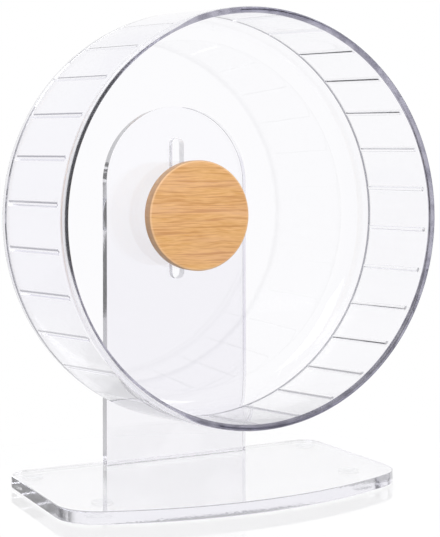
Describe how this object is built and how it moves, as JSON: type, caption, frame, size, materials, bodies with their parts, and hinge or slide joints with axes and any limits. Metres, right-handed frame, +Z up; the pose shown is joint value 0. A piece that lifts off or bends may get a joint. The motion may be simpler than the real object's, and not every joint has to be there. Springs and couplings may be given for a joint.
{
  "type": "hamster wheel",
  "caption": "Clear ribbed running drum for a small pet, turning on ball bearings and clamped at a chosen height on a slotted upright with a bow-fronted base and a bamboo hub cap.",
  "frame": {"origin": "the point on the floor under the middle of the base plate", "axes": "+Z up, the open side of the drum faces -Y and the upright stands at +Y, +X to the right for someone looking into the drum"},
  "size_m": [0.2752, 0.146, 0.3186],
  "materials": {
    "clear_sheet": "clear acrylic sheet with polished edges",
    "clear_moulding": "clear polished moulding",
    "clear_silicone": "clear soft silicone",
    "bamboo": "sanded natural bamboo with a fine grain",
    "white_plastic": "moulded white plastic",
    "bearing_steel": "ground bearing steel",
    "cage_nylon": "natural nylon",
    "seal_rubber": "black seal rubber",
    "zinc_steel": "bright zinc plate",
    "knob_plastic": "pale frosted plastic"
  },
  "bodies": {
    "stand": {"base_plate": "clear_sheet", "upright": "clear_sheet", "foot_pads": "clear_silicone"},
    "axle": {"axle_bolt": "zinc_steel", "bolt_shim": "zinc_steel", "front_inner_race": "bearing_steel", "rear_inner_race": "bearing_steel", "bearing_spacer": "zinc_steel", "axle_collar": "zinc_steel"},
    "wheel": {"track_ring": "clear_moulding", "back_dish": "clear_moulding", "bearing_hub": "white_plastic", "bamboo_cap": "bamboo", "cap_plug": "white_plastic", "front_outer_race": "bearing_steel", "rear_outer_race": "bearing_steel", "front_bearing_seals": "seal_rubber", "rear_bearing_seals": "seal_rubber"},
    "front_ball_set": {"front_balls": "bearing_steel", "front_ball_cage": "cage_nylon"},
    "rear_ball_set": {"rear_balls": "bearing_steel", "rear_ball_cage": "cage_nylon"},
    "washer": {"clamp_washer": "zinc_steel"},
    "knob": {"clamp_knob": "knob_plastic", "knob_nut": "zinc_steel"}
  },
  "joints": [
    {"name": "height_slide", "type": "slide", "parent": "stand", "child": "axle", "axis": [0, 0, 1], "range_m": [-0.03, 0.049]},
    {"name": "wheel_spin", "type": "hinge", "parent": "axle", "child": "wheel", "pos_m": [0, 0, 0.181], "axis": [0, 1, 0], "continuous": true},
    {"name": "front_ball_roll", "type": "hinge", "parent": "axle", "child": "front_ball_set", "pos_m": [0, 0, 0.181], "axis": [0, 1, 0], "continuous": true},
    {"name": "rear_ball_roll", "type": "hinge", "parent": "axle", "child": "rear_ball_set", "pos_m": [0, 0, 0.181], "axis": [0, 1, 0], "continuous": true},
    {"name": "clamp_back_off", "type": "slide", "parent": "axle", "child": "washer", "axis": [0, 1, 0], "range_m": [0, 0.0025]},
    {"name": "knob_turn", "type": "hinge", "parent": "washer", "child": "knob", "pos_m": [0, 0.069, 0.181], "axis": [0, 1, 0], "range_deg": [0, 720]}
  ],
  "couplings": [
    {"joint": "front_ball_roll", "follows": "wheel_spin", "ratio": 0.6323},
    {"joint": "rear_ball_roll", "follows": "wheel_spin", "ratio": 0.6323},
    {"joint": "knob_turn", "follows": "clamp_back_off", "rad_per_m": 5026.5}
  ]
}
